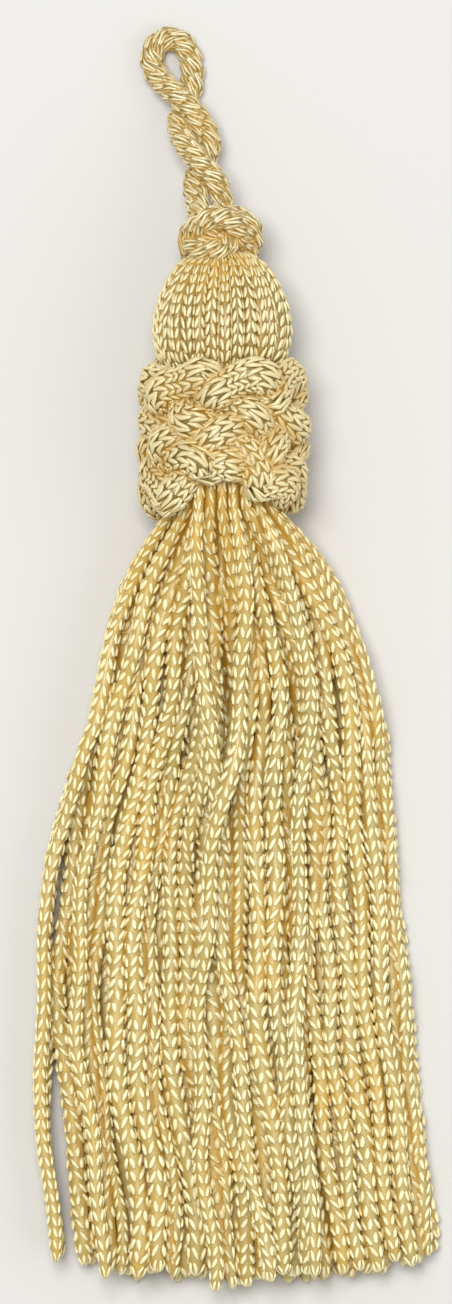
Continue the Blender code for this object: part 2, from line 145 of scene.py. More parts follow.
# how far the painted shade of a crease reaches between plies, between turns of cord and at cord
# ends
PLY_FOLD = 0.48 * MM
BAND_FOLD = 0.7 * MM
TUCKED_LENGTH = 1.6 * MM
LEG_SIDES = 5
LEG_RINGS = 4
CORE_SIDES = 8
PALE_TIP = 0.7
WELD = 1e-7
TABLE_GAP = 0.02 * MM
ROUTE_STEP = 0.25 * MM
UP = np.array((0.0, 0.0, 1.0))
# painted highlight on the proud side of a ply's stitches, painted shade on the core between them
CORD_PAINTED_HIGHLIGHT = (0.83, 0.76, 0.50)
CORD_PAINTED_SHADE = (0.33, 0.25, 0.095)
CORD_GOLD = (0.52, 0.34, 0.08)
PLY_TONES = (0.1, 0.5, 0.8)
CORD_SHINE = 0.2
# painted shade: the colour of the silk in a crease; painted glow: a faint emission that lightens
# its creases and low parts
PAINTED_CREASE_SHADE = (0.36, 0.195, 0.016, 1.0)
PAINTED_GLOW = (0.10, 0.052, 0.002, 1.0)
BLACK = (0.0, 0.0, 0.0, 1.0)
FIBRE_STRETCH = (7.0, 7.0, 0.9)
FIBRE_DEPTH = 0.04 * MM
PATCH_SCALE = 160.0
SHEEN_TINT = (1.0, 0.72, 0.25, 1.0)
HIGHLIGHT_TINT = (1.0, 0.96, 0.8, 1.0)


def evenly_spaced(points, step):
    """Points a step apart along a line through the given ones."""
    gone = np.append(0.0, np.cumsum(np.linalg.norm(np.diff(points, axis=0), axis=1)))
    wanted = np.linspace(0.0, gone[-1], max(4, round(gone[-1] / step)) + 1)
    return np.column_stack([np.interp(wanted, gone, column) for column in points.T])


def smooth_route(points, step):
    """Points a step apart along a smooth curve through the given ones."""
    knots = np.vstack((2 * points[0] - points[1], points, 2 * points[-1] - points[-2]))
    t = np.linspace(0.0, 1.0, 12, endpoint=False)[:, None]
    fine = []
    for before, start, end, after in zip(knots, knots[1:], knots[2:], knots[3:]):
        bend = 2 * start + (end - before) * t
        bend = bend + (2 * before - 5 * start + 4 * end - after) * t ** 2
        fine.append((bend + (3 * start - before - 3 * end + after) * t ** 3) / 2)
    fine.append(knots[-2:-1])
    return evenly_spaced(np.vstack(fine), step)


def unit(vectors):
    """The same directions, each of length one."""
    return vectors / np.linalg.norm(vectors, axis=1)[:, None]


def ways_along(points):
    """The way that a line runs at each of its points."""
    return unit(np.gradient(points, axis=0))


def carried_up(points, first=UP):
    """A direction square to a line, carried along it without turning round it."""
    up = first
    ups = []
    for way in ways_along(points):
        up = up - way * np.dot(up, way)
        up = up / np.linalg.norm(up)
        ups.append(up)
    return np.array(ups)


def knit_length(name, rows, pitch, wales, reach, leg, core, slant, tuck):
    """A length of knitted silk tube slit open: x is round it, y out from its middle, z along it.
    Its stitches are V shapes of two legs, in rows and wales, over a soft core."""
    width, depth, length = leg
    middle = reach - depth / 2
    room = math.pi * middle / wales
    bm = bmesh.new()
    number = bm.verts.layers.int.new("leg")
    for wale in range(wales):
        for side in (-1, 1):
            verts = bmesh.ops.create_uvsphere(bm, u_segments=LEG_SIDES, v_segments=LEG_RINGS,
                                              radius=0.5)["verts"]
            bmesh.ops.scale(bm, vec=(width, depth, length), verts=verts)
            lean = Matrix.Rotation(-side * slant, 3, "Y") @ Matrix.Rotation(tuck, 3, "X")
            bmesh.ops.rotate(bm, cent=(0, 0, 0), matrix=lean, verts=verts)
            x = (2 * wale + 1 + side / 2) * room
            bmesh.ops.translate(bm, vec=(x, middle, pitch / 2), verts=verts)
            for vert in verts:
                vert[number] = 2 * wale + (side > 0)
    ring = bm.verts[:] + bm.edges[:] + bm.faces[:]
    for row in range(1, rows):
        copied = bmesh.ops.duplicate(bm, geom=ring)["geom"]
        verts = [part for part in copied if isinstance(part, bmesh.types.BMVert)]
        bmesh.ops.translate(bm, vec=(0, 0, row * pitch), verts=verts)
        for vert in verts:
            vert[number] += 2 * wales * row
    end = rows * pitch
    # the core: its distance along and its radius at each place, turned in at both ends
    profile = [(-0.1 * core, 0.0), (0.0, 0.5 * core), (0.3 * core, 0.85 * core)]
    profile += [(row * pitch, core) for row in range(1, rows)]
    profile += [(end - 0.3 * core, 0.85 * core), (end, 0.5 * core), (end + 0.1 * core, 0.0)]
    girth = 2 * math.pi * middle
    steps = len(profile) - 1
    sheet = bmesh.ops.create_grid(bm, x_segments=CORE_SIDES, y_segments=steps, size=0.5)["verts"]
    for vert in sheet:
        along, out = profile[round((vert.co.y + 0.5) * steps)]
        vert.co = ((0.5 - vert.co.x) * girth, out, along)
        vert[number] = -1
    mesh = bpy.data.meshes.new(name)
    bm.to_mesh(mesh)
    bm.free()
    mesh.shade_smooth()
    fibre = read_points(mesh)
    # painted highlight: the tube's two ends are raised into the pale part of its colour
    tips = (fibre[:, 2] < PALE_TIP * core) | (fibre[:, 2] > end - PALE_TIP * core)
    fibre[tips, 1] = np.maximum(fibre[tips, 1], 0.75 * core + 0.25 * reach)
    spread = mesh.attributes.new("fibre", "FLOAT_VECTOR", "POINT")
    spread.data.foreach_set("vector", fibre.ravel() / MM)
    return mesh


def read_points(mesh):
    """The places of a mesh's points."""
    places = np.empty(len(mesh.vertices) * 3, dtype=np.float32)
    mesh.vertices.foreach_get("co", places)
    return places.reshape(-1, 3).astype(float)


def read_legs(knit):
    """The number of the leg that each point of a knit belongs to, -1 on its core."""
    numbers = np.empty(len(knit.vertices), dtype=np.int32)
    knit.attributes["leg"].data.foreach_get("value", numbers)
    return numbers


def along_line(values, place):
    """A line's values, one row a point, read at places between 0 and the last point."""
    values = np.asarray(values, dtype=float)
    steps = np.arange(len(values))
    if values.ndim == 1:
        return np.interp(place, steps, values)
    return np.column_stack([np.interp(place, steps, column) for column in values.T])


def rolled(flat, middle, length, line, ups, roll=0.0, wide=1.0, deep=1.0):
    """The points of a slit length of knit, rolled up and laid along an evenly spaced line."""
    place = flat[:, 2] / length * (len(line) - 1)
    sides = np.cross(ways_along(line), ups)
    angle = flat[:, 0] / middle + along_line(np.broadcast_to(roll, len(line)), place)
    out_side = flat[:, 1] * np.cos(angle) * along_line(np.broadcast_to(wide, len(line)), place)
    out_up = flat[:, 1] * np.sin(angle) * along_line(np.broadcast_to(deep, len(line)), place)
    points = along_line(line, place) + along_line(sides, place) * out_side[:, None]
    return points + along_line(ups, place) * out_up[:, None]


def folds(points, own_line, other_lines, reach):
    """1 where a cord's surface meets the cord beside it, 0 from a short reach away."""
    own = nearest(points, own_line)
    other = nearest(points, other_lines)
    return np.clip(1 - (other - own) / reach, 0.0, 1.0)


def nearest(points, line):
    """How far each of some points is from the nearest point of a line."""
    tree = KDTree(len(line))
    for place, point in enumerate(line):
        tree.insert(point, place)
    tree.balance()
    return np.array([tree.find(point)[2] for point in points])


def laid_knit(bm, knit, points, tone, crease_shade, unseen=None):
    """A length of knit added to a piece at its final points, less the legs that nobody sees."""
    copy = knit.copy()
    copy.vertices.foreach_set("co", points.astype(np.float32).ravel())
    for name, values in (("tone", tone), ("crease_shade", crease_shade)):
        layer = copy.attributes.new(name, "FLOAT", "POINT")
        layer.data.foreach_set("value", np.broadcast_to(values, len(points)).astype(np.float32))
    hidden = copy.attributes.new("unseen", "INT", "POINT")
    flags = np.zeros(len(points), dtype=np.int32) if unseen is None else unseen.astype(np.int32)
    hidden.data.foreach_set("value", flags)
    bm.from_mesh(copy)
    bpy.data.meshes.remove(copy)


def knit_piece(name, bm, finish):
    """A finished piece of the tassel made of lengths of knit."""
    hidden = bm.verts.layers.int["unseen"]
    doomed = [vert for vert in bm.verts if vert[hidden]]
    bmesh.ops.delete(bm, geom=doomed, context="VERTS")
    number = bm.verts.layers.int["leg"]
    cores = [vert for vert in bm.verts if vert[number] < 0]
    bmesh.ops.remove_doubles(bm, verts=cores, dist=WELD)
    mesh = bpy.data.meshes.new(name)
    bm.to_mesh(mesh)
    bm.free()
    mesh.shade_smooth()
    mesh.materials.append(finish)
    piece = bpy.data.objects.new(name, mesh)
    bpy.context.scene.collection.objects.link(piece)
    return piece


class Signal:
    """A value inside a material. Sums on it add the Math nodes that work them out."""

    def __init__(self, tree, socket=None):
        self.tree = tree
        self.socket = socket

    def node(self, kind, settings, values, output=0):
        made = self.tree.nodes.new(kind)
        for name, value in settings.items():
            setattr(made, name, value)
        for name, value in values.items():
            self.feed(made.inputs[name], value)
        return Signal(self.tree, made.outputs[output])

    def feed(self, socket, value):
        if isinstance(value, Signal):
            self.tree.links.new(value.socket, socket)
        else:
            socket.default_value = value

    def math(self, operation, first, second):
        return self.node("ShaderNodeMath", {"operation": operation}, {0: first, 1: second})

    def __add__(self, value):
        return self.math("ADD", self, value)

    def __radd__(self, value):
        return self.math("ADD", value, self)

    def __sub__(self, value):
        return self.math("SUBTRACT", self, value)

    def __rsub__(self, value):
        return self.math("SUBTRACT", value, self)

    def __mul__(self, value):
        return self.math("MULTIPLY", self, value)

    def between(self, low, high):
        """0 below the low value, 1 above the high one, smooth between them."""
        settings = {"interpolation_type": "SMOOTHSTEP"}
        return self.node("ShaderNodeMapRange", settings, {"Value": self, 1: low, 2: high})

    def mixed(self, first, second):
        """The first colour at 0, the second at 1."""
        values = {0: self, 6: first, 7: second}
        return self.node("ShaderNodeMix", {"data_type": "RGBA"}, values, output=2)


def silk(name, pale, deep, gold, core, reach, shine):
    """Lustrous silk with painted light: a painted highlight makes it pale on the proud side of its
    stitches, painted shade makes it deeper gold between them and in its creases, and a painted
    glow lightens those.
    """
    finish = bpy.data.materials.new(name)
    finish.use_nodes = True
    tree = finish.node_tree
    shader = tree.nodes["Principled BSDF"]
    start = Signal(tree)
    fibre = start.node("ShaderNodeAttribute", {"attribute_name": "fibre"}, {}, "Vector")
    tone = start.node("ShaderNodeAttribute", {"attribute_name": "tone"}, {}, "Fac")
    crease_shade = start.node("ShaderNodeAttribute", {"attribute_name": "crease_shade"}, {}, "Fac")
    height = start.node("ShaderNodeSeparateXYZ", {}, {0: fibre}, "Y")
    stretched = start.node("ShaderNodeVectorMath", {"operation": "MULTIPLY"},
                           {0: fibre, 1: FIBRE_STRETCH})
    threads = start.node("ShaderNodeTexNoise", {},
                         {"Vector": stretched, "Scale": 1.0, "Detail": 2.0}, "Fac")
    place = start.node("ShaderNodeTexCoord", {}, {}, "Object")
    patches = start.node("ShaderNodeTexNoise", {},
                         {"Vector": place, "Scale": PATCH_SCALE, "Detail": 1.0}, "Fac")
    # painted shade and highlight: a stitch turns from deep to pale over the lower half of its
    # height above the core
    proud = height.between(core / MM, (0.52 * core + 0.48 * reach) / MM)
    colour = proud.mixed((*deep, 1.0), (*pale, 1.0))
    # gold in random tones and patches: partly the silk's own tone, partly painted shade, as it
    # lies mostly on the low parts between stitches
    golden = (tone * 0.3 + patches.between(0.45, 0.8) * 0.5) * (1.0 - proud * 0.7)
    colour = golden.mixed(colour, (*gold, 1.0))
    # painted shade: creases turn to dark gold
    creased = crease_shade.between(0.15, 1.0) * (0.92 - proud * 0.42)
    start.feed(shader.inputs["Base Color"], creased.mixed(colour, PAINTED_CREASE_SHADE))
    # painted glow: a faint gold emission in creases and in the low parts between stitches
    glow = crease_shade.between(0.35, 1.0) * 0.8 + (1.0 - proud) * 0.08
    start.feed(shader.inputs["Emission Color"], glow.mixed(BLACK, PAINTED_GLOW))
    shader.inputs["Emission Strength"].default_value = 1.0
    start.feed(shader.inputs["Roughness"], shine + threads * 0.16)
    bump = start.node("ShaderNodeBump", {},
                      {"Height": threads, "Distance": FIBRE_DEPTH, "Strength": 0.6})
    start.feed(shader.inputs["Normal"], bump)
    shader.inputs["Specular IOR Level"].default_value = 1.0
    shader.inputs["Specular Tint"].default_value = HIGHLIGHT_TINT
    shader.inputs["Sheen Weight"].default_value = 0.5
    shader.inputs["Sheen Roughness"].default_value = 0.5
    shader.inputs["Sheen Tint"].default_value = SHEEN_TINT
    return finish


def plies_of(line, ups, lay, off):
    """The lines of a laid cord's plies, which turn round the cord's own."""
    sides = np.cross(ways_along(line), ups)
    gone = np.append(0.0, np.cumsum(np.linalg.norm(np.diff(line, axis=0), axis=1)))
    for ply in range(CORD_PLIES):
        angle = 2 * math.pi * (gone / lay + ply / CORD_PLIES)
        yield line + off * (sides * np.cos(angle)[:, None] + ups * np.sin(angle)[:, None])


def laid_cord(bm, line, ups, tones, others=None):
    """A cord of plies along a line, added to a piece."""
    middle = PLY_REACH - PLY_LEG[1] / 2
    plies = [evenly_spaced(ply, ROUTE_STEP) for ply in plies_of(line, ups, CORD_LAY, PLY_OFF)]
    for ply, tone in zip(plies, tones):
        beside = np.vstack([other for other in plies if other is not ply])
        rows = round((len(ply) - 1) * ROUTE_STEP / PLY_PITCH)
        knit = knit_length("ply", rows, PLY_PITCH, PLY_WALES, PLY_REACH, PLY_LEG, PLY_CORE,
                           PLY_SLANT, PLY_TUCK)
        points = rolled(read_points(knit), middle, rows * PLY_PITCH, ply, carried_up(ply))
        points[:, 2] = np.maximum(points[:, 2], TABLE_GAP)
        # painted shade in the creases between plies, between bands of the knot and at tucked cord
        # ends
        crease_shade = folds(points, ply, beside, PLY_FOLD)
        if others is not None:
            crease_shade = np.maximum(crease_shade, folds(points, line, others, BAND_FOLD))
            crease_shade = np.maximum(crease_shade, 1 - nearest(points, line[[0, -1]]) / TUCKED_LENGTH)
        laid_knit(bm, knit, points, tone, crease_shade)
        bpy.data.meshes.remove(knit)


loop_line = smooth_route(LOOP_ROUTE, ROUTE_STEP)
loop_bm = bmesh.new()
laid_cord(loop_bm, loop_line, carried_up(loop_line), PLY_TONES)
loop_silk = silk("loop_silk", CORD_PAINTED_HIGHLIGHT, CORD_PAINTED_SHADE, CORD_GOLD, PLY_CORE, PLY_REACH, CORD_SHINE)
loop = knit_piece("loop_cord", loop_bm, loop_silk)
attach(loop, "root")
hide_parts("hanging_loop")

# Skirt: some seventy lengths of knitted silk tube, gathered in the neck and let fall. They
# lie on the table and on each other, fan out as they go, and are cut off almost square.
AXIS = np.array((-1.43, 7.75)) * MM
ROOT_Y = 23.6 * MM
ROOT_PITCH = 1.12 * MM
ROOT_REACH = 4.5
STRAND_PITCH = 1.68 * MM
ROOT_WIDTH = 0.78 * MM
SOLID_WIDTH = 1.34 * MM
SWELL_LENGTH = 10.0 * MM
CUT_Y = -53.2 * MM
CUT_RISE = 2.4 * MM
CUT_UNEVEN = 0.45 * MM
SKIRT_HALF_WIDTH = 20.0 * MM
STATION_STEP = 1.2 * MM
FALL_PER_STATION = 0.27 * MM
SPREAD_LENGTH = 20.0 * MM
DEEPEST_LAYER = 4
SINK = 0.02 * MM
SIDE_PULL = 0.05
SETTLE_ROUNDS = 60
EASE_ROUNDS = 30
RIDER_REACH = 1.15
WANDER = 0.2 * MM
STRAY_GAP = 1.8 * MM
STRAY_FROM = -28.0 * MM
STRAY_TO = -62.0 * MM
RIDERS = (
    # column and row in the neck, and how far the strand drifts across the skirt
    (-2, 4, 0.26),
    (1, 4, -0.18),
    (3, 3, -0.12),
)
SKIRT_OUTLINE = MM * np.array((
    # place along Y, left edge, right edge
    (23.6, -6.95, 4.09),
    (22.4, -7.9, 5.05),
    (20.7, -9.6, 7.7),
    (17.8, -11.1, 9.2),
    (11.1, -13.0, 12.2),
    (2.0, -14.8, 14.9),
    (-4.9, -17.5, 15.3),
    (-11.6, -19.1, 15.9),
    (-25.1, -20.5, 17.3),
    (-40.9, -19.9, 18.7),
    (-51.2, -18.6, 20.5),
))
STRAND_SEED = 7
# the knitted tube: how far its stitches reach out, their rows, and one leg of a stitch
STRAND_REACH = 0.94 * MM
STRAND_ROWS = 65
STRAND_STITCH = 1.3 * MM
STRAND_WALES = 3
STRAND_LEG = (0.48 * MM, 0.44 * MM, 1.34 * MM)
STRAND_SLANT = math.radians(20)
STRAND_TUCK = math.radians(8)
STRAND_CORE = 0.7 * MM
STRAND_STEP = 0.6 * MM
STRAND_FOLD = 0.5 * MM
# what makes one strand unlike the next: its twist, stitches, sway, size and top end
STRAND_TWIST = 0.27
TWIST_UNEVEN = 0.07
LEG_UNEVEN = (0.035 * MM, 0.03 * MM, 0.06 * MM)
STITCH_DRIFT = 1.6 * MM
STRAND_SWAY = 0.3 * MM
SWAY_WAVE = (2.2, 4.0)
SIZES = (0.92, 1.04)
TOP_UNEVEN = 0.6
# how strands give way to each other: flatter, fuller below, wider or narrower beside
STRAND_DEEP = 0.94
FILLING_SIZE = 0.28
NARROWEST = 0.9
WIDEST = 1.2
STANDS_OFF = 1.3
EDGE_SOFT = 0.15 * MM
EDGE_STRANDS = 1.1
ROOT_SHARE = 0.7
# the cut ends: drawn in, rounded and uneven
CUT_DRAWN_IN = 0.16
CUT_RAGGED = 0.55 * MM
CUT_LENGTH = 2.6 * MM
CUT_ROUNDING = 1.1 * MM
NECK_TOP_Y = 29.0 * MM
LIFT = STRAND_REACH - SOLID_WIDTH / 2
# a leg is shut in if strands stand in the way in all these directions, or if it is sunk in one
LOOKED_FROM = np.radians((-70, -45, -20, 0, 20, 45, 70))
HIDING_REACH = 0.74 * STRAND_REACH
SUNK_REACH = 0.7 * STRAND_REACH
SUNK_FLAT = 1.25
# painted shade: the silk is more golden near the neck, and its creases there deeper
GOLDEN_FROM = 0.0 * MM
GOLDEN_LENGTH = 16.0 * MM
TONE_FROM = 8.0 * MM
# painted highlight on the proud side of a strand's stitches, painted shade on the core between
# them
SILK_PAINTED_HIGHLIGHT = (0.92, 0.88, 0.54)
SILK_PAINTED_SHADE = (0.43, 0.335, 0.115)
SILK_GOLD = (0.62, 0.38, 0.055)
SHINE = 0.28


def outline(y):
    """The left and right edge of the skirt at a place along Y."""
    rows = SKIRT_OUTLINE[::-1]
    return np.interp(y, rows[:, 0], rows[:, 1]), np.interp(y, rows[:, 0], rows[:, 2])


def swell(y):
    """0 where a strand leaves the collar, 1 once it has its full thickness."""
    part = np.clip((ROOT_Y - y) / SWELL_LENGTH, 0.0, 1.0)
    return part * part * (3 - 2 * part)


def root_grid():
    """The strands' places in the neck: the points of a square grid inside a circle."""
    span = range(-math.ceil(ROOT_REACH), math.ceil(ROOT_REACH) + 1)
    cells = [(i, j) for i in span for j in span if i * i + j * j <= ROOT_REACH ** 2]
    return np.array(sorted(cells), dtype=float)


def shares_across(cells):
    """Where each strand lies across the flattened skirt, 0 at the left and 1 at the right."""
    columns = []
    for column in sorted(set(cells[:, 0])):
        members = np.flatnonzero(cells[:, 0] == column)
        wide = math.ceil(len(members) / DEEPEST_LAYER)
        columns += [members[place::wide] for place in range(wide)]
    shares = np.zeros(len(cells))
    for place, members in enumerate(columns):
        shares[members] = (place + 0.5) / len(columns)
    return shares


def pushed_apart(x, z, pitch, share=0.3):
    """Strands that lie nearer than a pitch, moved apart."""
    gap_x = x[:, None] - x
    gap_z = z[:, None] - z
    cube_x = gap_x * gap_x * gap_x
    cube_z = gap_z * gap_z * gap_z
    apart = np.sqrt(np.sqrt(cube_x * gap_x + cube_z * gap_z))
    np.fill_diagonal(apart, pitch)
    steep = np.sqrt(cube_x * cube_x + cube_z * cube_z)
    np.fill_diagonal(steep, 1.0)
    push = share * np.maximum(pitch - apart, 0.0) / steep
    x = x + np.sum(push * cube_x, axis=1)
    z = z + np.sum(push * cube_z, axis=1)
    return x, z


def settled(x, z, y, wanted, sink, rounds):
    """The strands of one station, spread to the outline and lying on each other and the table."""
    left, right = outline(y)
    grown = swell(y)
    pitch = ROOT_PITCH + (STRAND_PITCH - ROOT_PITCH) * grown
    half = (ROOT_WIDTH + (SOLID_WIDTH - ROOT_WIDTH) * grown) / 2
    for _ in range(rounds):
        x = x + SIDE_PULL * (wanted - x)
        z = z - sink
        x, z = pushed_apart(x, z, pitch)
        x = np.clip(x, left + half, right - half)
        z = np.maximum(z, half)
    return x, z


def stray_gap(y):
    """How far the outermost strand at the left stands off from the rest."""
    part = (y - STRAY_FROM) / (STRAY_TO - STRAY_FROM)
    return STRAY_GAP * math.sin(math.pi * part) ** 2 if 0 < part < 1 else 0.0


def lying_lines(cells, places):
    """The x and z of the middle lines of the strands that lie in order, at each place along Y."""
    rng = np.random.default_rng(STRAND_SEED)
    shares = shares_across(cells)
    wander = rng.uniform(-WANDER, WANDER, len(cells))
    x = AXIS[0] + ROOT_PITCH * cells[:, 0]
    z = AXIS[1] + ROOT_PITCH * cells[:, 1]
    lines_x = [x]
    lines_z = [z]
    edges = outline(places[0])
    for y in places[1:]:
        left, right = outline(y)
        across = (x - edges[0]) / (edges[1] - edges[0])
        fanned = left + (right - left) * across
        spread = min((ROOT_Y - y) / SPREAD_LENGTH, 1.0)
        level = left + (right - left) * shares + wander
        inside = shares > np.min(shares)
        level = level + inside * (1 - shares) * stray_gap(y)
        wanted = fanned + spread * (level - fanned)
        z = z - FALL_PER_STATION * min(1.0, (ROOT_Y - y) / (3 * STATION_STEP))
        x, z = settled(fanned, z, y, wanted, SINK, SETTLE_ROUNDS)
        lines_x.append(x)
        lines_z.append(z)
        edges = (left, right)
    return smoothed(places, np.array(lines_x), np.array(lines_z))


def eased(values, passes):
    """Rows of values with the kinks between one row and the next taken out."""
    for _ in range(passes):
        values[1:-1] = 0.25 * values[:-2] + 0.5 * values[1:-1] + 0.25 * values[2:]
    return values


def smoothed(places, xs, zs):
    """Middle lines with their kinks taken out and their strands still apart."""
    for _ in range(8):
        eased(xs, 3)
        eased(zs, 3)
        for k in range(1, len(places)):
            xs[k], zs[k] = settled(xs[k], zs[k], places[k], xs[k], 0.0, EASE_ROUNDS)
    return xs, zs


def laid_over(xs, zs, places, cell):
    """The middle line of a strand that crosses on top of all those laid before it."""
    column, row, drift = cell
    line_x = []
    heights = []
    edges = outline(places[0])
    share = (AXIS[0] + ROOT_PITCH * column - edges[0]) / (edges[1] - edges[0])
    for k, y in enumerate(places):
        left, right = outline(y)
        part = (ROOT_Y - y) / (ROOT_Y - CUT_Y)
        x = left + (right - left) * (share + drift * part * (2 - part))
        pitch = ROOT_PITCH + (STRAND_PITCH - ROOT_PITCH) * swell(y)
        under = zs[k][np.abs(xs[k] - x) < RIDER_REACH * pitch]
        line_x.append(x)
        heights.append(np.max(under) + pitch if len(under) else pitch)
    start = AXIS[1] + ROOT_PITCH * row
    heights[0] = start
    widest = [max(heights[max(0, k - 2):k + 3]) for k in range(len(heights))]
    widest[0:3] = [start] * 3
    return np.array(line_x), eased(np.array(widest), 6)


def strand_lines():
    """The places along Y, and the x and z of every strand's middle line at each."""
    count = round((ROOT_Y - CUT_Y) / STATION_STEP) + 2
    places = ROOT_Y - STATION_STEP * np.arange(count)
    riding = {(column, row) for column, row, drift in RIDERS}
    cells = np.array([cell for cell in root_grid() if tuple(cell) not in riding])
    xs, zs = lying_lines(cells, places)
    for cell in RIDERS:
        x, z = laid_over(xs, zs, places, cell)
        xs = np.column_stack((xs, x))
        zs = np.column_stack((zs, z))
    return places, xs, zs


def nested(xs, zs):
    """The strands of each lower layer moved over, under the gaps between those above, and how
    far down each lies: 0 on top, 1 or more under others."""
    moved = xs.copy()
    layers = 0 * xs
    for k, y in enumerate(places):
        pitch = ROOT_PITCH + (STRAND_PITCH - ROOT_PITCH) * swell(y)
        above = (zs[k][None, :] - zs[k][:, None]) / pitch
        beside = np.abs(xs[k][None, :] - xs[k][:, None]) < 0.6 * pitch
        layer = np.max(np.where(beside & (above > 0.3), above, 0.0), axis=1)
        left, right = outline(y)
        shift = 0.5 * pitch * np.sin(np.clip(layer, 0.0, 2.0) * math.pi / 2) * swell(y)
        shift = shift * (xs[k] - left > EDGE_STRANDS * pitch)
        moved[k] = np.clip(xs[k] + shift, left + 0.4 * pitch, right - 0.4 * pitch)
        layers[k] = np.minimum(layer, 1.0) * (xs[k] - left > EDGE_STRANDS * pitch)
    return eased(moved, 12), eased(layers, 12)


def soft_widths(xs, zs):
    """How wide each strand spreads at each place to meet the strands beside it."""
    widths = 0 * xs
    for k, y in enumerate(places):
        pitch = ROOT_PITCH + (STRAND_PITCH - ROOT_PITCH) * swell(y)
        gap_x = xs[k][None, :] - xs[k][:, None]
        level = np.abs(zs[k][None, :] - zs[k][:, None]) < 0.75 * pitch
        right = np.min(np.where(level & (gap_x > 0.3 * pitch), gap_x, 9.0), axis=1)
        left = np.min(np.where(level & (gap_x < -0.3 * pitch), -gap_x, 9.0), axis=1)
        nearer = np.minimum(left, right)
        further = np.maximum(left, right)
        further = np.where(further > 1.7 * pitch, nearer, further)
        shared = 0.3 * nearer + 0.7 * further
        widths[k] = np.where(nearer > STANDS_OFF * pitch, NARROWEST * pitch, shared) / pitch
    return eased(np.clip(widths, NARROWEST, WIDEST), 8)


def cut_ends(xs, rng):
    """How far along Y each strand reaches: an uneven edge that rises to both sides."""
    rise = CUT_RISE * (xs / SKIRT_HALF_WIDTH) ** 2
    return CUT_Y + rise + rng.uniform(-CUT_UNEVEN, CUT_UNEVEN, len(xs))


def moved_legs(flat, numbers, share, rng):
    """A slit length of knit with each leg of its stitches a little out of place."""
    own = numbers >= 0
    uneven = rng.normal(0.0, share, (numbers.max() + 1, 3)) * LEG_UNEVEN
    flat[own] += uneven[numbers[own]]
    return flat


def leg_middles(points, numbers):
    """The middle of each leg of a knit's stitches."""
    own = numbers >= 0
    counts = np.bincount(numbers[own])
    return np.column_stack([np.bincount(numbers[own], weights=points[own, i]) / counts
                            for i in range(3)])


def unseen_legs(middles, outward, xs, zs, strand):
    """Which legs of a strand's stitches are shut in by the strands round it."""
    order = -places
    near_x = np.array([np.interp(-middles[:, 1], order, line) for line in xs.T])
    near_z = np.array([np.interp(-middles[:, 1], order, line) for line in zs.T])
    near_x[strand] = 1.0
    shut = np.ones(len(middles), dtype=bool)
    facing = np.arctan2(outward[:, 1], outward[:, 0])
    for turn in LOOKED_FROM:
        way_x = np.cos(facing + turn)
        way_z = np.sin(facing + turn)
        to_x = near_x - middles[:, 0]
        to_z = near_z - middles[:, 2]
        ahead = to_x * way_x + to_z * way_z
        beside = np.abs(to_x * way_z - to_z * way_x)
        shut &= np.any((ahead > 0) & (beside < HIDING_REACH), axis=0)
    off = np.hypot((near_x - middles[:, 0]) / SUNK_FLAT, near_z - middles[:, 2])
    return shut | np.any(off < SUNK_REACH, axis=0)


def strand_folds(points, xs, zs, strand):
    """1 where a strand's surface meets the strand beside it, 0 from a short reach away."""
    place = np.clip((places[0] - points[:, 1]) / STATION_STEP, 0, len(places) - 1.001)
    before = place.astype(int)
    part = (place - before)[:, None]
    gap_x = xs[before] * (1 - part) + xs[before + 1] * part - points[:, :1]
    gap_z = zs[before] * (1 - part) + zs[before + 1] * part - points[:, 2:]
    apart = np.sqrt(gap_x * gap_x + gap_z * gap_z)
    own = apart[:, strand].copy()
    apart[:, strand] = 1.0
    return np.clip(1 - (np.min(apart, axis=1) - own) / STRAND_FOLD, 0.0, 1.0)


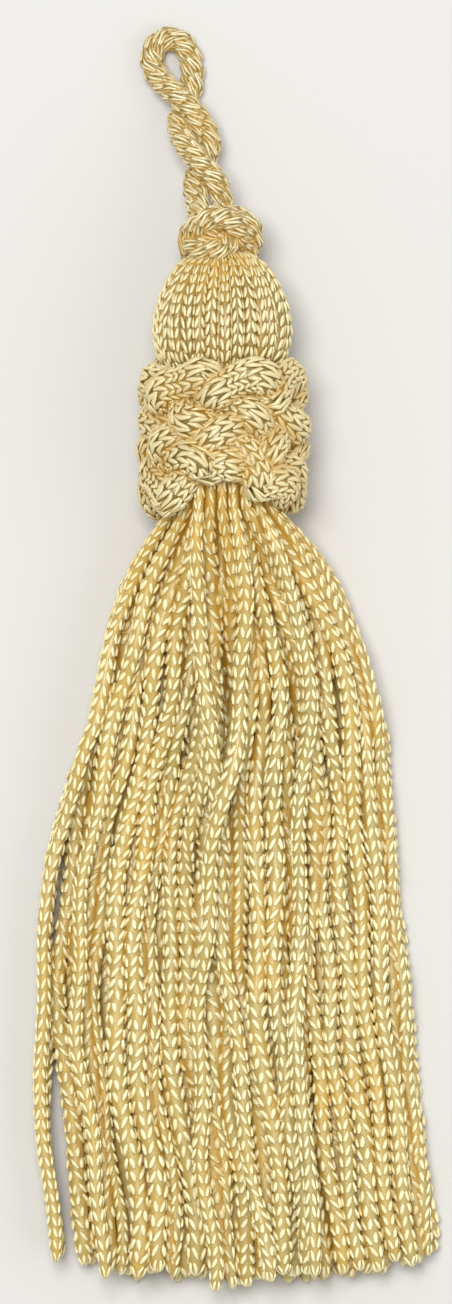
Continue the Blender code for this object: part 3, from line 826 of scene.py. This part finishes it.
places, lines_x, lines_z = strand_lines()
ends = cut_ends(lines_x[-1], np.random.default_rng(STRAND_SEED))
ragged = np.random.default_rng(STRAND_SEED + 2)
ends = ends + ragged.uniform(-CUT_RAGGED, CUT_RAGGED, len(ends))
lines_z = lines_z + LIFT * swell(places)[:, None]
lines_x, layers = nested(lines_x, lines_z)
widths = soft_widths(lines_x, lines_z)
strand_knit = knit_length("strand", STRAND_ROWS, STRAND_STITCH, STRAND_WALES, STRAND_REACH,
                          STRAND_LEG, STRAND_CORE, STRAND_SLANT, STRAND_TUCK)
strand_flat = read_points(strand_knit)
strand_span = STRAND_ROWS * STRAND_STITCH
strand_middle = STRAND_REACH - STRAND_LEG[1] / 2
strand_legs = read_legs(strand_knit)
rng = np.random.default_rng(STRAND_SEED + 1)
skirt_bms = [bmesh.new(), bmesh.new(), bmesh.new()]
for strand, end in enumerate(ends):
    # its course, from the neck to the cut
    top = NECK_TOP_Y + rng.uniform(-TOP_UNEVEN, TOP_UNEVEN) * MM
    stops = np.concatenate(((top,), places[places > end], (end,)))
    x = np.interp(-stops, -places, lines_x[:, strand])
    sway = np.sin(stops / MM / rng.uniform(*SWAY_WAVE) + rng.uniform(0, 2 * math.pi))
    x = x + STRAND_SWAY * sway * swell(stops)
    edges = outline(stops)
    half = STRAND_REACH * np.interp(-stops, -places, widths[:, strand]) - EDGE_SOFT
    x = np.where(stops < ROOT_Y, np.clip(x, edges[0] + half, edges[1] - half), x)
    z = np.interp(-stops, -places, lines_z[:, strand])
    line = evenly_spaced(np.column_stack((x, stops, z)), STRAND_STEP)
    ups = unit(UP - ways_along(line) * (ways_along(line) @ UP)[:, None])
    # its size along that course: thin in the neck, full below, drawn in at the cut
    size = ROOT_SHARE + (1 - ROOT_SHARE) * swell(line[:, 1])
    size = size * (1 + FILLING_SIZE * np.interp(-line[:, 1], -places, layers[:, strand]))
    loose = 1 - CUT_DRAWN_IN * np.clip(1 - (line[:, 1] - end) / CUT_LENGTH, 0, 1)
    size = size * loose * rng.uniform(*SIZES)
    wide = size * np.interp(-line[:, 1], -places, widths[:, strand]) * loose
    gone = np.arange(len(line)) * STRAND_STEP
    twist = rng.choice((-1, 0, 0, 1, 1)) * STRAND_TWIST + rng.normal(0, TWIST_UNEVEN)
    roll = rng.uniform(0, 2 * math.pi) + twist * gone / MM
    # its stitches: either way up, a little uneven, closed in where it is cut
    flat = strand_flat.copy()
    if rng.random() < 0.5:
        flat[:, 2] = strand_span - flat[:, 2]
        flat[:, 0] = -flat[:, 0]
    drift = STITCH_DRIFT * rng.uniform(-1, 1, 2)
    part = flat[:, 2] / strand_span
    flat[:, 2] += drift[0] * np.sin(math.pi * part) + drift[1] * np.sin(2 * math.pi * part)
    flat = moved_legs(flat, strand_legs, 1.0, rng)
    short = np.clip(1 - (strand_span - flat[:, 2]) / CUT_ROUNDING, 0, 1)
    flat[:, 1] *= np.sqrt(np.maximum(1 - short ** 2, 0.12))
    points = rolled(flat, strand_middle, strand_span, line, ups, roll, wide, STRAND_DEEP * size)
    points[:, 2] = np.maximum(points[:, 2], TABLE_GAP)
    # the legs that nobody sees, and the painted shade in its creases and near the neck
    middles = leg_middles(points, strand_legs)
    centre_x = np.interp(-middles[:, 1], -places, lines_x[:, strand])
    centre_z = np.interp(-middles[:, 1], -places, lines_z[:, strand])
    outward = np.column_stack((middles[:, 0] - centre_x, middles[:, 2] - centre_z))
    shut = unseen_legs(middles, outward, lines_x, lines_z, strand)
    unseen = (strand_legs >= 0) & shut[np.maximum(strand_legs, 0)]
    tone = rng.random() + 1.5 * np.clip((points[:, 1] - TONE_FROM) / GOLDEN_LENGTH, 0, 1)
    near_neck = np.clip((points[:, 1] - GOLDEN_FROM) / GOLDEN_LENGTH, 0, 1)
    crease_shade = strand_folds(points, lines_x, lines_z, strand) * (1 + 0.8 * near_neck)
    crease_shade = np.minimum(crease_shade + 0.3 * near_neck, 1.0)
    across = (lines_x[-1, strand] + SKIRT_HALF_WIDTH) / (2 * SKIRT_HALF_WIDTH)
    laid_knit(skirt_bms[min(2, int(3 * across))], strand_knit, points, tone, crease_shade, unseen)
strand_silk = silk("strand_silk", SILK_PAINTED_HIGHLIGHT, SILK_PAINTED_SHADE, SILK_GOLD, STRAND_CORE, STRAND_REACH,
                   SHINE)
for name, bm in zip(("skirt_left", "skirt_middle", "skirt_right"), skirt_bms):
    piece = knit_piece(name, bm, strand_silk)
    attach(piece, "root")
    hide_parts("strands")

# Head: the strands bent over at the top, side by side round a padded middle. They meet in a
# gather at the crown, bulge, and are drawn in under the collar to run down the neck.
HEAD_RIBS = 31
HEAD_PROFILE = MM * np.array((
    # place along Y, distance from the tassel's own axis
    (48.75, 0.9),
    (48.6, 2.1),
    (48.2, 3.2),
    (47.6, 4.2),
    (46.7, 5.1),
    (45.2, 5.95),
    (43.5, 6.65),
    (41.6, 7.02),
    (39.8, 6.95),
    (38.6, 6.65),
    (37.6, 6.05),
    (36.6, 5.3),
    (35.2, 4.95),
    (31.0, 4.9),
    (27.0, 5.0),
    (25.5, 5.3),
))
RIB_REACH = 0.8 * MM
RIB_LEG = (0.44 * MM, 0.4 * MM, 1.22 * MM)
RIB_SLANT = math.radians(15)
RIB_CORE = 0.52 * MM
RIB_STITCH = 1.12 * MM
RIB_DRIFT = 0.8 * MM
RIB_UNEVEN = 0.012
RIB_TWIST = 0.05
RIB_CROWDING = 1.2
RIB_SEED = 21
# the ribs crowd together at the crown, are golden there, and keep all their legs
CROWN_RADIUS = 0.3 * MM
CROWN_Y = 45.5 * MM
CROWN_LENGTH = 3.0 * MM
SHUT_BELOW_Y = 47.5 * MM
PADDING_DEPTH = 1.0 * MM
PADDING_SIDES = 48
# painted highlight on the proud side of a rib's stitches, painted shade on the core between them
HEAD_PAINTED_HIGHLIGHT = (0.83, 0.77, 0.47)
HEAD_PAINTED_SHADE = (0.24, 0.165, 0.045)


def round_axis(angle, radius, y):
    """Points at angles and distances from the tassel's own axis."""
    return np.column_stack((AXIS[0] + radius * np.cos(angle), y, AXIS[1] + radius * np.sin(angle)))


def padding(bm, profile, depth):
    """The middle of the head and neck, turned from its profile and painted all over in the shade
    and glow of a crease.
    """
    crease_shade = bm.verts.layers.float["crease_shade"]
    line = [bm.verts.new((AXIS[0] + max(radius - depth, 0.0), y, AXIS[1]))
            for y, radius in profile]
    for vert in line:
        vert[crease_shade] = 1.0
    edges = [bm.edges.new(pair) for pair in zip(line, line[1:])]
    bmesh.ops.spin(bm, geom=line + edges, cent=(AXIS[0], 0, AXIS[1]), axis=(0, 1, 0),
                   angle=2 * math.pi, steps=PADDING_SIDES, use_merge=True)


rng = np.random.default_rng(RIB_SEED)
head_bm = bmesh.new()
dome = smooth_route(HEAD_PROFILE @ np.array(((0, 1, 0), (1, 0, 0))), ROUTE_STEP)
rib_rows = round((len(dome) - 1) * ROUTE_STEP / RIB_STITCH)
rib_span = rib_rows * RIB_STITCH
rib_knit = knit_length("rib", rib_rows, RIB_STITCH, STRAND_WALES, RIB_REACH, RIB_LEG, RIB_CORE,
                       RIB_SLANT, STRAND_TUCK)
rib_flat = read_points(rib_knit)
rib_legs = read_legs(rib_knit)
far = np.maximum(dome[:, 0] - RIB_REACH, CROWN_RADIUS)
room = 2 * math.pi * far / HEAD_RIBS
wide = np.clip(RIB_CROWDING * room / (2 * RIB_REACH), 0.2, 1.0)
deep = np.clip(0.45 + 0.55 * wide, 0.5, 1.0)
for rib in range(HEAD_RIBS):
    angle = 2 * math.pi * (rib + 0.5) / HEAD_RIBS + rng.uniform(-RIB_UNEVEN, RIB_UNEVEN)
    line = round_axis(angle, far, dome[:, 1])
    ups = carried_up(line, np.array((math.cos(angle), 0.0, math.sin(angle))))
    roll = rng.uniform(0, 2 * math.pi)
    roll = roll + rng.uniform(-RIB_TWIST, RIB_TWIST) * np.arange(len(line)) * ROUTE_STEP / MM
    flat = rib_flat.copy()
    if rng.random() < 0.5:
        flat[:, 2] = rib_span - flat[:, 2]
        flat[:, 0] = -flat[:, 0]
    flat[:, 2] += RIB_DRIFT * rng.uniform(-1, 1) * np.sin(math.pi * flat[:, 2] / rib_span)
    flat = moved_legs(flat, rib_legs, 1.0, rng)
    points = rolled(flat, RIB_REACH - RIB_LEG[1] / 2, rib_span, line, ups, roll, wide, deep)
    middles = leg_middles(points, rib_legs)
    inner = np.hypot(middles[:, 0] - AXIS[0], middles[:, 2] - AXIS[1])
    ridge = np.interp(-middles[:, 1], -line[:, 1], far)
    shut = (inner < ridge - 0.25 * RIB_REACH) & (middles[:, 1] < SHUT_BELOW_Y)
    unseen = (rib_legs >= 0) & shut[np.maximum(rib_legs, 0)]
    tone = rng.random() + 2.5 * np.clip((points[:, 1] - CROWN_Y) / CROWN_LENGTH, 0, 1)
    # painted shade in the crease between two ribs, from just past the middle of a rib's half
    round_way = np.arctan2(points[:, 2] - AXIS[1], points[:, 0] - AXIS[0])
    off = np.abs(np.angle(np.exp(1j * (round_way - angle)))) * HEAD_RIBS / math.pi
    crease_shade = np.clip((off - 0.55) / 0.45, 0, 1)
    laid_knit(head_bm, rib_knit, points, tone, crease_shade, unseen)
# the padded middle, in painted crease shade, shows in the gaps between the ribs
padding(head_bm, HEAD_PROFILE, PADDING_DEPTH)
head_silk = silk("head_silk", HEAD_PAINTED_HIGHLIGHT, HEAD_PAINTED_SHADE, SILK_GOLD, RIB_CORE, RIB_REACH, SHINE)
head = knit_piece("head_ribs", head_bm, head_silk)
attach(head, "root")
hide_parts("strands")

# Collar: one thick knitted silk cord, woven over and under itself round the neck in five
# runs, with seven turns at each edge, and pulled tight so that its lobes press together. A
# plain silk sleeve under it, painted all over in crease shade and glow, fills the hollows
# between the lobes.
COLLAR_Y = 30.6 * MM
COLLAR_HALF_LENGTH = 6.75 * MM
COLLAR_LEADS = 5
COLLAR_BIGHTS = 7
COLLAR_TURN = math.radians(14)
COLLAR_RADIUS = 6.15 * MM
COLLAR_FLARE = 0.75 * MM
COLLAR_WEAVE = 0.9 * MM
TURN_SHARPNESS = 0.93
STEPS_PER_TURN = 160
COLLAR_CORD_REACH = 1.45 * MM
COLLAR_CORD_WALES = 8
COLLAR_LEG = (0.4 * MM, 0.42 * MM, 1.4 * MM)
COLLAR_SLANT = math.radians(17)
COLLAR_TUCK = math.radians(7)
COLLAR_CORE = 1.2 * MM
COLLAR_STITCH = 0.98 * MM
COLLAR_WIDE = 1.16
COLLAR_FLAT = 0.98
COLLAR_ROLL = 0.4
# the collar's edges: the upper one lies lower than the weave's own, the lower one higher, and
# most of all in front, where the strands come out of a notch
COLLAR_UPPER_EDGE = 1.15 * MM
COLLAR_LOWER_EDGE = 0.8 * MM
NOTCH_RISE = 3.0 * MM
NOTCH_HALF_ANGLE = 0.5
LOBE_SWELL = 0.14
COLLAR_SEED = 5
COLLAR_UNEVEN = 0.36 * MM
WANDER_WAVES = 60
RISE_WAVES = 50
# how far the painted shade of a crease reaches, and how near along the cord is still the same run
COLLAR_FOLD = 1.4 * MM
SAME_RUN = 3.5 * MM
FAR_OFF = 1.0
POINTS_AT_ONCE = 2000
SLEEVE = MM * np.array((
    # place along Y, radius
    (36.4, 5.0),
    (35.8, 5.8),
    (34.9, 6.0),
    (31.0, 6.0),
    (28.5, 6.0),
    (27.6, 5.6),
    (27.2, 5.0),
))
COLLAR_TONE = 0.3
# painted highlight on the proud side of the cord's stitches, painted shade on the core between
# them
COLLAR_PAINTED_HIGHLIGHT = (0.75, 0.66, 0.385)
COLLAR_PAINTED_SHADE = (0.18, 0.12, 0.03)


def weave_height(phase):
    """The cord's place along the collar, -1 to 1: straight runs, round turns."""
    return np.arcsin(TURN_SHARPNESS * np.cos(phase)) / math.asin(TURN_SHARPNESS)


def weave_rise(phase):
    """1 where the cord passes over itself, -1 where it passes under."""
    side = np.clip(np.sin(phase) / math.sin(math.pi / COLLAR_LEADS), -1.0, 1.0)
    return -np.cos(COLLAR_LEADS * phase) * side


def slow_noise(rng, count, waves, size):
    """A smooth closed wandering round nought."""
    turn = 2 * math.pi * np.arange(count) / count
    sum_of_waves = np.zeros(count)
    for wave in range(waves // 2, waves):
        sum_of_waves += np.sin(wave * turn + rng.uniform(0, 2 * math.pi))
    return size * sum_of_waves / math.sqrt((waves - waves // 2) / 2)


def to_other_runs(points, own_place, line):
    """How far each point of the cord is from the cord's nearest other run."""
    gone = np.arange(len(line)) * ROUTE_STEP
    found = np.full(len(points), FAR_OFF)
    for start in range(0, len(points), POINTS_AT_ONCE):
        some = slice(start, start + POINTS_AT_ONCE)
        apart = np.linalg.norm(points[some, None, :] - line[None, ::2, :], axis=2)
        along_gap = np.abs(own_place[some, None] - gone[None, ::2])
        along_gap = np.minimum(along_gap, gone[-1] - along_gap)
        apart[along_gap < SAME_RUN] = FAR_OFF
        found[some] = np.min(apart, axis=1)
    return found


rng = np.random.default_rng(COLLAR_SEED)
collar_steps = COLLAR_LEADS * STEPS_PER_TURN
turn = 2 * math.pi * COLLAR_LEADS * np.arange(collar_steps) / collar_steps
phase = COLLAR_BIGHTS * turn / COLLAR_LEADS
height = weave_height(phase)
along = COLLAR_HALF_LENGTH * height + slow_noise(rng, collar_steps, WANDER_WAVES, COLLAR_UNEVEN)
radius = COLLAR_RADIUS + COLLAR_FLARE * height ** 4 + COLLAR_WEAVE * weave_rise(phase)
radius = radius + slow_noise(rng, collar_steps, RISE_WAVES, 0.4 * COLLAR_UNEVEN)
sideways = slow_noise(rng, collar_steps, WANDER_WAVES, COLLAR_UNEVEN)
angle = turn + COLLAR_TURN + sideways / COLLAR_RADIUS
# the cord's two ends meet out of sight, under a crossing at the back
hidden = np.cos(angle + math.pi / 2) - weave_rise(phase)
first = int(np.argmax(hidden))
off_front = np.abs(np.angle(np.exp(1j * (angle - math.pi / 2))))
notch = COLLAR_LOWER_EDGE + NOTCH_RISE * np.exp(-(off_front / NOTCH_HALF_ANGLE) ** 2)
along = along + notch * ((1 - height) / 2) ** 1.5 - COLLAR_UPPER_EDGE * ((1 + height) / 2) ** 1.5
collar_line = np.roll(round_axis(angle, radius, along + COLLAR_Y), -first, axis=0)
collar_line = evenly_spaced(np.vstack((collar_line, collar_line[:1])), ROUTE_STEP)
outward = collar_line - np.array((AXIS[0], 0.0, AXIS[1]))
outward = unit(outward * np.array((1.0, 0.0, 1.0)))
ways = ways_along(collar_line)
collar_ups = unit(outward - ways * np.sum(outward * ways, axis=1)[:, None])
collar_rows = round((len(collar_line) - 1) * ROUTE_STEP / COLLAR_STITCH)
collar_span = collar_rows * COLLAR_STITCH
collar_knit = knit_length("collar_cord", collar_rows, COLLAR_STITCH, COLLAR_CORD_WALES,
                          COLLAR_CORD_REACH, COLLAR_LEG, COLLAR_CORE, COLLAR_SLANT, COLLAR_TUCK)
flat = moved_legs(read_points(collar_knit), read_legs(collar_knit), 0.8, rng)
# the cord swells where it lies on top and is pressed in where it passes under
far = np.hypot(collar_line[:, 0] - AXIS[0], collar_line[:, 2] - AXIS[1])
lobes = LOBE_SWELL * np.clip((far - COLLAR_RADIUS) / COLLAR_WEAVE, -1, 1)
points = rolled(flat, COLLAR_CORD_REACH - COLLAR_LEG[1] / 2, collar_span, collar_line, collar_ups,
                COLLAR_ROLL, COLLAR_WIDE + lobes, COLLAR_FLAT + lobes)
points[:, 2] = np.maximum(points[:, 2], TABLE_GAP)
cord_length = (len(collar_line) - 1) * ROUTE_STEP
own_place = np.clip(flat[:, 2] / collar_span, 0, 1) * cord_length
past_crease = to_other_runs(points, own_place, collar_line) - nearest(points, collar_line)
# painted shade where the cord meets its other runs
crease_shade = np.clip(1 - past_crease / COLLAR_FOLD, 0, 1)
collar_bm = bmesh.new()
laid_knit(collar_bm, collar_knit, points, COLLAR_TONE, crease_shade)
padding(collar_bm, SLEEVE, 0.0)
collar_silk = silk("collar_silk", COLLAR_PAINTED_HIGHLIGHT, COLLAR_PAINTED_SHADE, SILK_GOLD, COLLAR_CORE,
                   COLLAR_CORD_REACH, CORD_SHINE)
collar = knit_piece("woven_collar", collar_bm, collar_silk)
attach(collar, "root")
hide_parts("collar")

# Top knot: an overhand knot in the cord of the loop, pulled down on the crown of the head.
# One leg crosses its front, a lobe goes up and over, and the rest turns round behind. A soft
# silk middle, painted all over in crease shade and glow, shows golden between the turns.
KNOT_BANDS = (
    ((-3.79, 52.9, 8.15), (-3.5, 51.8, 8.95), (-3.1, 51.1, 9.6), (-2.4, 50.3, 10.2),
     (-1.5, 49.5, 10.0), (-0.7, 48.6, 9.0)),
    ((-4.0, 48.2, 5.2), (-4.6, 49.1, 6.9), (-4.5, 50.3, 8.9), (-3.6, 51.3, 10.5),
     (-2.3, 51.9, 11.2), (-0.9, 51.8, 10.9), (0.2, 50.9, 10.0), (0.55, 49.7, 8.6),
     (0.3, 48.6, 6.9)),
    ((-1.6, 53.7, 5.6), (-1.2, 52.5, 5.5), (-0.1, 52.2, 6.4), (0.9, 51.6, 7.3), (1.5, 50.6, 7.8),
     (1.3, 49.2, 6.9), (0.6, 48.4, 5.4)),
    ((0.9, 51.7, 5.6), (-0.6, 51.9, 4.3), (-2.2, 51.4, 3.9), (-3.6, 50.3, 4.4), (-4.2, 49.0, 5.4)),
    ((0.8, 49.4, 5.6), (-0.8, 49.9, 4.0), (-2.6, 49.5, 3.9), (-4.0, 48.6, 4.8)),
    ((-4.4, 49.9, 8.6), (-3.9, 49.1, 9.9), (-3.0, 48.7, 10.6), (-2.0, 48.7, 10.8),
     (-1.2, 49.0, 10.5), (-0.8, 49.7, 9.8)),
)
KNOT_MIDDLE = MM * np.array((-1.6, 50.3, 7.5))
KNOT_INSIDE = (2.1 * MM, 1.5 * MM, 2.5 * MM)
KNOT_TONES = (0.2, 0.5, 0.8)

knot_bm = bmesh.new()
knot_lines = [smooth_route(MM * np.array(band), ROUTE_STEP) for band in KNOT_BANDS]
for line in knot_lines:
    others = np.vstack([other for other in knot_lines if other is not line])
    laid_cord(knot_bm, line, carried_up(line, line[0] - KNOT_MIDDLE), KNOT_TONES, others)
knitted = len(knot_bm.verts)
inside = bmesh.ops.create_icosphere(knot_bm, subdivisions=3, radius=1.0)["verts"]
bmesh.ops.scale(knot_bm, vec=KNOT_INSIDE, verts=inside)
bmesh.ops.translate(knot_bm, vec=KNOT_MIDDLE, verts=inside)
# painted shade and glow all over the soft middle
crease_shade = knot_bm.verts.layers.float["crease_shade"]
knot_bm.verts.ensure_lookup_table()
for vert in knot_bm.verts[knitted:]:
    vert[crease_shade] = 1.0
knot = knit_piece("overhand_knot", knot_bm, loop_silk)
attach(knot, "root")
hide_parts("top_knot")
